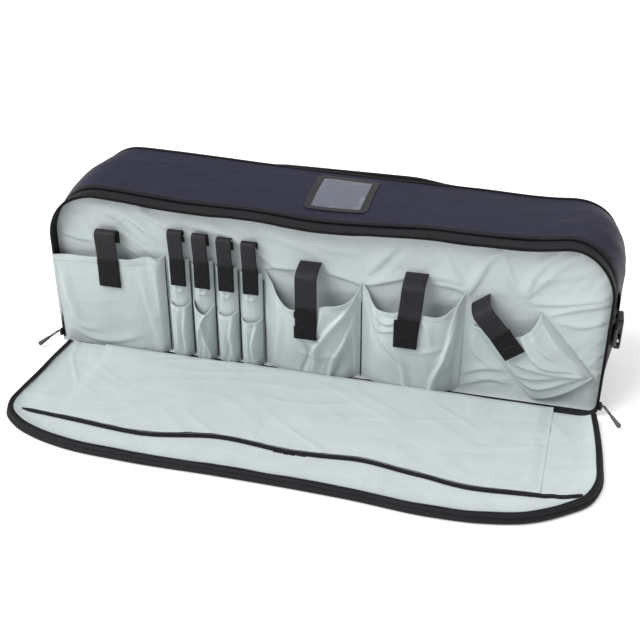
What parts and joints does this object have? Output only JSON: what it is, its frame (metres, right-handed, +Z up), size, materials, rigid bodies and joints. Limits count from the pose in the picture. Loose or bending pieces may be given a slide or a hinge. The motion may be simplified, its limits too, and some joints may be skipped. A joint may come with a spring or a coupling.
{
  "type": "flight bag",
  "caption": "Long soft-sided padded flight bag with a front flap that folds down, an organizer door of lined pockets with webbing straps, a rear zip round the body and an ID window on top.",
  "frame": {"origin": "middle of the front edge of the underside, where the organizer door's front edge meets the ground", "axes": "+X along the bag's length (to the right seen from the front), +Y from the front to the back, +Z up"},
  "size_m": [0.9856, 0.5109, 0.2872],
  "materials": {
    "navy_nylon": "matte coated nylon",
    "black_nylon": "matte nylon",
    "zip_tape": "ribbed tape and coil",
    "webbing": "woven webbing",
    "hook_loop": "fuzzy loop",
    "lining": "satin coated nylon",
    "foam": "closed-cell foam",
    "board": "matte",
    "buckle": "satin moulded",
    "slider": "satin",
    "pull": "moulded rubber",
    "window_vinyl": "gloss",
    "window_film": "clear gloss"
  },
  "bodies": {
    "bag": {"outer_shell": "navy_nylon", "back_panel": "navy_nylon", "body_foam": "foam", "body_lining": "lining", "bottom_board": "board", "body_piping": "navy_nylon", "id_window_frame": "window_vinyl", "id_window_film": "window_film", "rear_zip_body_tape": "zip_tape", "door_hinge_strip": "black_nylon"},
    "door": {"door_band": "black_nylon", "door_foam": "foam", "door_lining": "lining", "rear_zip_door_tape": "zip_tape", "front_zip_door_tape": "zip_tape", "flap_hinge_strip": "black_nylon", "document_pocket": "lining", "tool_pocket_1": "lining", "tool_pocket_2": "lining", "tool_pocket_3": "lining", "tool_pocket_4": "lining", "centre_pocket": "lining", "radio_pocket": "lining", "corner_pocket": "lining", "loop_patches": "hook_loop"},
    "flap": {"flap_panel": "navy_nylon", "flap_foam": "foam", "flap_lining": "lining", "flap_band": "black_nylon", "front_zip_flap_tape": "zip_tape", "flap_pocket_sheet": "lining", "flap_pocket_zip_tape": "zip_tape"},
    "handle": {"carry_handle": "webbing"},
    "end_strap_right": {"end_strap_right": "webbing", "buckle_socket_right": "buckle"},
    "end_strap_left": {"end_strap_left": "webbing", "buckle_socket_left": "buckle"},
    "back_strap_right": {"back_strap_right": "webbing", "buckle_plug_right": "buckle"},
    "back_strap_left": {"back_strap_left": "webbing", "buckle_plug_left": "buckle"},
    "document_strap": {"document_strap": "webbing"},
    "tool_1_strap": {"tool_1_strap": "webbing"},
    "tool_2_strap": {"tool_2_strap": "webbing"},
    "tool_3_strap": {"tool_3_strap": "webbing"},
    "tool_4_strap": {"tool_4_strap": "webbing"},
    "centre_strap": {"centre_strap": "webbing"},
    "radio_strap": {"radio_strap": "webbing"},
    "corner_strap": {"corner_strap": "webbing"},
    "pocket_zip_slider_left": {"pocket_zip_slider_left": "slider"},
    "pocket_zip_slider_right": {"pocket_zip_slider_right": "slider"},
    "pocket_zip_pull_left": {"pocket_zip_pull_left": "slider"},
    "pocket_zip_pull_right": {"pocket_zip_pull_right": "slider"},
    "front_zip_slider_left": {"front_zip_slider_left": "slider"},
    "front_zip_slider_right": {"front_zip_slider_right": "slider"},
    "front_zip_pull_left": {"front_zip_pull_left": "pull"},
    "front_zip_pull_right": {"front_zip_pull_right": "pull"},
    "rear_zip_slider_upper": {"rear_zip_slider_upper": "slider"},
    "rear_zip_slider_lower": {"rear_zip_slider_lower": "slider"},
    "rear_zip_pull_upper": {"rear_zip_pull_upper": "pull"},
    "rear_zip_pull_lower": {"rear_zip_pull_lower": "pull"}
  },
  "joints": [
    {"name": "door_hinge", "type": "hinge", "parent": "bag", "child": "door", "pos_m": [0, 0.03, 0.002], "axis": [1, 0, 0], "range_deg": [0, 90]},
    {"name": "flap_hinge", "type": "hinge", "parent": "door", "child": "flap", "pos_m": [0, -0.011, 0.011], "axis": [-1, 0, 0], "range_deg": [0, 90]},
    {"name": "document_strap_lift", "type": "hinge", "parent": "door", "child": "document_strap", "pos_m": [-0.356, 0.0167, 0.222], "axis": [1, 0, 0], "range_deg": [-88, 0]},
    {"name": "tool_1_strap_lift", "type": "hinge", "parent": "door", "child": "tool_1_strap", "pos_m": [-0.2363, 0.0167, 0.234], "axis": [1, 0, 0], "range_deg": [-88, 0]},
    {"name": "tool_2_strap_lift", "type": "hinge", "parent": "door", "child": "tool_2_strap", "pos_m": [-0.1949, 0.0167, 0.232], "axis": [1, 0, 0], "range_deg": [-88, 0]},
    {"name": "tool_3_strap_lift", "type": "hinge", "parent": "door", "child": "tool_3_strap", "pos_m": [-0.1535, 0.0167, 0.23], "axis": [1, 0, 0], "range_deg": [-88, 0]},
    {"name": "tool_4_strap_lift", "type": "hinge", "parent": "door", "child": "tool_4_strap", "pos_m": [-0.1121, 0.0167, 0.228], "axis": [1, 0, 0], "range_deg": [-88, 0]},
    {"name": "centre_strap_lift", "type": "hinge", "parent": "door", "child": "centre_strap", "pos_m": [-0.015, 0.0167, 0.208], "axis": [1, 0, 0], "range_deg": [-88, 0]},
    {"name": "radio_strap_lift", "type": "hinge", "parent": "door", "child": "radio_strap", "pos_m": [0.149, 0.0167, 0.21], "axis": [1, 0, 0], "range_deg": [-88, 0]},
    {"name": "corner_strap_lift", "type": "hinge", "parent": "door", "child": "corner_strap", "pos_m": [0.2574, 0.0167, 0.1778], "axis": [0.8, 0, 0.6], "range_deg": [-88, 0]},
    {"name": "front_slider_left_run", "type": "slide", "parent": "door", "child": "front_zip_slider_left", "axis": [0, 0, 1], "range_m": [0, 0.16]},
    {"name": "front_slider_right_run", "type": "slide", "parent": "door", "child": "front_zip_slider_right", "axis": [0, 0, 1], "range_m": [0, 0.16]},
    {"name": "front_pull_left_swing", "type": "hinge", "parent": "front_zip_slider_left", "child": "front_zip_pull_left", "pos_m": [-0.4625, 0, 0.023], "axis": [0.7071, -0.7071, 0], "range_deg": [-100, 0]},
    {"name": "front_pull_right_swing", "type": "hinge", "parent": "front_zip_slider_right", "child": "front_zip_pull_right", "pos_m": [0.4625, 0, 0.023], "axis": [0.7071, 0.7071, 0], "range_deg": [-100, 0]},
    {"name": "rear_slider_upper_run", "type": "slide", "parent": "bag", "child": "rear_zip_slider_upper", "axis": [0, 0, 1], "range_m": [0, 0.02]},
    {"name": "rear_slider_lower_run", "type": "slide", "parent": "bag", "child": "rear_zip_slider_lower", "axis": [0, 0, 1], "range_m": [-0.105, 0]},
    {"name": "rear_pull_upper_swing", "type": "hinge", "parent": "rear_zip_slider_upper", "child": "rear_zip_pull_upper", "pos_m": [0.4641, 0.0245, 0.1715], "axis": [0, 1, 0], "range_deg": [-120, 0]},
    {"name": "rear_pull_lower_swing", "type": "hinge", "parent": "rear_zip_slider_lower", "child": "rear_zip_pull_lower", "pos_m": [0.4641, 0.0355, 0.158], "axis": [0, 1, 0], "range_deg": [-120, 0]},
    {"name": "pocket_slider_left_run", "type": "slide", "parent": "flap", "child": "pocket_zip_slider_left", "axis": [1, 0, 0], "range_m": [-0.39, 0]},
    {"name": "pocket_slider_right_run", "type": "slide", "parent": "flap", "child": "pocket_zip_slider_right", "axis": [1, 0, 0], "range_m": [0, 0.39]},
    {"name": "pocket_pull_left_lift", "type": "hinge", "parent": "pocket_zip_slider_left", "child": "pocket_zip_pull_left", "pos_m": [0.0062, -0.222, 0.0089], "axis": [0, -1, 0], "range_deg": [-90, 0]},
    {"name": "pocket_pull_right_lift", "type": "hinge", "parent": "pocket_zip_slider_right", "child": "pocket_zip_pull_right", "pos_m": [0.0278, -0.222, 0.0089], "axis": [0, 1, 0], "range_deg": [-90, 0]},
    {"name": "handle_swing", "type": "hinge", "parent": "bag", "child": "handle", "pos_m": [0, 0.2084, 0.243], "axis": [1, 0, 0], "range_deg": [-90, 0]},
    {"name": "end_strap_right_swing", "type": "hinge", "parent": "bag", "child": "end_strap_right", "pos_m": [0.4562, 0.0625, 0.2], "axis": [0, 1, 0], "range_deg": [-150, 0]},
    {"name": "end_strap_left_swing", "type": "hinge", "parent": "bag", "child": "end_strap_left", "pos_m": [-0.4562, 0.0625, 0.2], "axis": [0, 1, 0], "range_deg": [0, 150]},
    {"name": "back_strap_right_swing", "type": "hinge", "parent": "bag", "child": "back_strap_right", "pos_m": [0.412, 0.2092, 0.2], "axis": [1, 0, 0], "range_deg": [0, 150]},
    {"name": "back_strap_left_swing", "type": "hinge", "parent": "bag", "child": "back_strap_left", "pos_m": [-0.412, 0.2092, 0.2], "axis": [1, 0, 0], "range_deg": [0, 150]}
  ]
}
